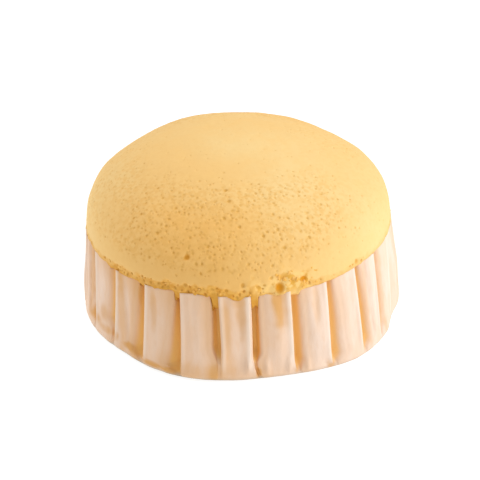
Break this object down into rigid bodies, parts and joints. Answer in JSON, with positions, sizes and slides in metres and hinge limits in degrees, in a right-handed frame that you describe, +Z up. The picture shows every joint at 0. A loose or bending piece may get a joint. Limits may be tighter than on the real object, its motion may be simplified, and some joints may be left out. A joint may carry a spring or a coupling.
{
  "type": "steamed cake in a paper case",
  "caption": "Round domed steamed sponge cake standing in its own pleated paper case with a flat floor.",
  "frame": {"origin": "centre of the bounding box, on the surface that the case stands on", "axes": "+Z up, the front of the cake faces -Y, +X to the right seen from the front"},
  "size_m": [0.07, 0.0688, 0.0392],
  "materials": {
    "sponge": null,
    "case_paper": "matte greaseproof paper, warmed by the cake behind it and amber in the folds"
  },
  "bodies": {
    "root": {"cake": "sponge", "paper_case": "case_paper"}
  },
  "joints": []
}
